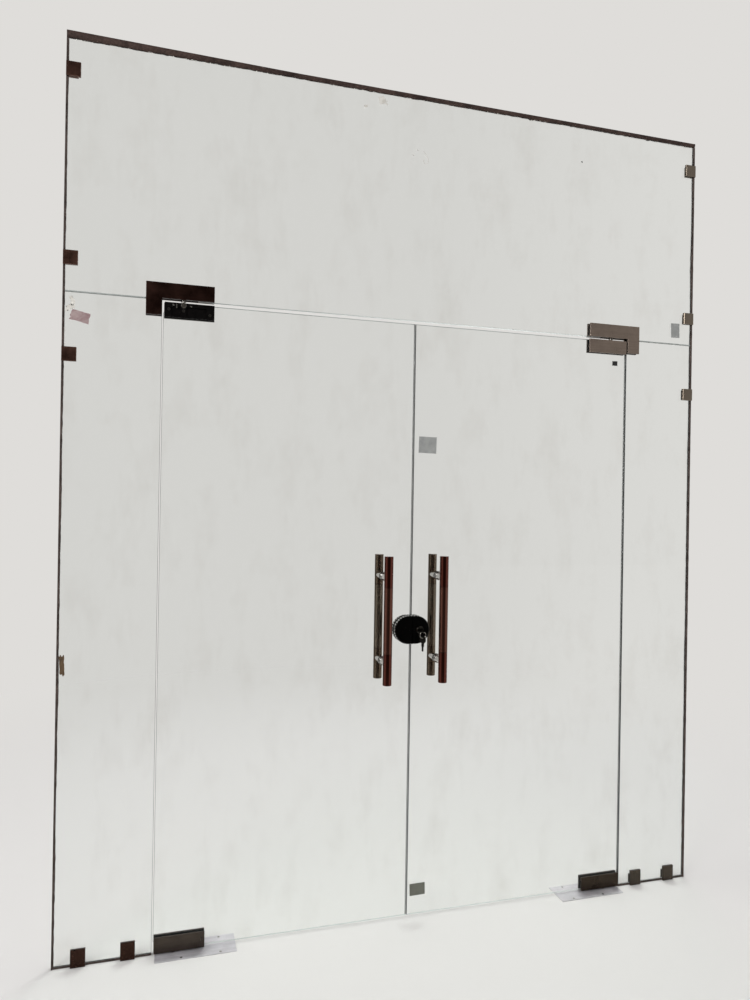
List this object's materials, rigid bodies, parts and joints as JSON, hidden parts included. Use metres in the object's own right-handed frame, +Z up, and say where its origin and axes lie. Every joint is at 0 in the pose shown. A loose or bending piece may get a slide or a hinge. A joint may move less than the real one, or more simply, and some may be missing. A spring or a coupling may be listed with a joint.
{
  "type": "glass entrance door",
  "caption": "Frameless glass entrance: paired double-action leaves on patch fittings and floor springs, side panels, over-panel, wall clips, pull handles and a round centre lock.",
  "frame": {"origin": "on the finished floor, on the line where the leaves meet, in the middle plane of the glass", "axes": "+X to the right seen from outdoors, +Y into the building, +Z up"},
  "size_m": [2.4, 0.156, 3.058],
  "materials": {
    "glass": "clear toughened float glass with ground edges",
    "dark_casting": "dark casting, dull",
    "patch_cover": "dull brushed stainless sheet",
    "gasket": "black fibre and rubber sheet",
    "screw_steel": "plain steel",
    "box_steel": "galvanised sheet",
    "floor_plate": "scuffed brushed stainless sheet",
    "clip_steel": "brushed stainless steel",
    "seal": "dark sealant, matt and uneven",
    "handle_bar": "brushed stainless tube look with polished ends",
    "handle_post": "polished",
    "lock_black": "gloss black lacquer",
    "lock_metal": "plain machined metal",
    "barrel_brass": "nickelled brass, worn",
    "key_steel": "nickelled keys"
  },
  "bodies": {
    "surround": {"overpanel_glass": "glass", "left_sidelight_glass": "glass", "right_sidelight_glass": "glass", "corner_patch_clamps": "dark_casting", "left_corner_patch_core": "dark_casting", "right_corner_patch_core": "dark_casting", "left_corner_patch_cover": "patch_cover", "right_corner_patch_cover": "patch_cover", "corner_patch_back_covers": "patch_cover", "corner_patch_gaskets": "gasket", "corner_patch_screws": "screw_steel", "top_pivot_pins": "screw_steel", "floor_spring_boxes": "box_steel", "floor_spring_bodies": "dark_casting", "left_floor_plate": "floor_plate", "right_floor_plate": "floor_plate", "floor_plate_screws": "screw_steel", "clip_cores": "clip_steel", "clip_plates": "clip_steel", "clip_gaskets": "gasket", "clip_screws": "screw_steel", "ceiling_seal": "seal", "edge_seals": "seal"},
    "left_leaf": {"left_leaf_glass": "glass", "left_top_patch_core": "dark_casting", "left_bottom_patch_core": "dark_casting", "left_patch_clamps": "dark_casting", "left_bottom_patch_cover": "patch_cover", "left_patch_back_covers": "patch_cover", "left_leaf_gaskets": "gasket", "left_patch_screws": "screw_steel", "left_spindle": "screw_steel", "left_outer_handle": "handle_bar", "left_inner_handle": "handle_bar", "left_handle_posts": "handle_post", "left_lock_shells": "lock_black", "lock_keeper": "lock_metal"},
    "right_leaf": {"right_leaf_glass": "glass", "right_top_patch_core": "dark_casting", "right_bottom_patch_core": "dark_casting", "right_patch_clamps": "dark_casting", "right_top_patch_cover": "patch_cover", "right_bottom_patch_cover": "patch_cover", "right_patch_back_covers": "patch_cover", "right_leaf_gaskets": "gasket", "right_patch_screws": "screw_steel", "right_spindle": "screw_steel", "right_outer_handle": "handle_bar", "right_inner_handle": "handle_bar", "right_handle_posts": "handle_post", "right_lock_shells": "lock_black", "lock_case": "lock_metal", "lock_barrel": "barrel_brass"},
    "key_and_turn": {"lock_plug": "barrel_brass", "lock_key": "key_steel", "key_ring": "key_steel", "spare_key": "key_steel", "thumb_turn": "lock_metal"},
    "bolt": {"lock_bolt": "lock_metal"}
  },
  "joints": [
    {"name": "left_leaf_swing", "type": "hinge", "parent": "surround", "child": "left_leaf", "pos_m": [-0.823, 0, 0], "axis": [0, 0, 1], "range_deg": [-90, 90], "stiffness_Nm_per_rad": 10},
    {"name": "right_leaf_swing", "type": "hinge", "parent": "surround", "child": "right_leaf", "pos_m": [0.823, 0, 0], "axis": [0, 0, 1], "range_deg": [-90, 90], "stiffness_Nm_per_rad": 10},
    {"name": "key_turn", "type": "hinge", "parent": "right_leaf", "child": "key_and_turn", "pos_m": [0.028, 0, 1.053], "axis": [0, 1, 0], "range_deg": [0, 90]},
    {"name": "bolt_throw", "type": "slide", "parent": "right_leaf", "child": "bolt", "axis": [-1, 0, 0], "range_m": [0, 0.0121]}
  ],
  "couplings": [
    {"joint": "bolt_throw", "follows": "key_turn", "m_per_rad": 0.00765}
  ]
}
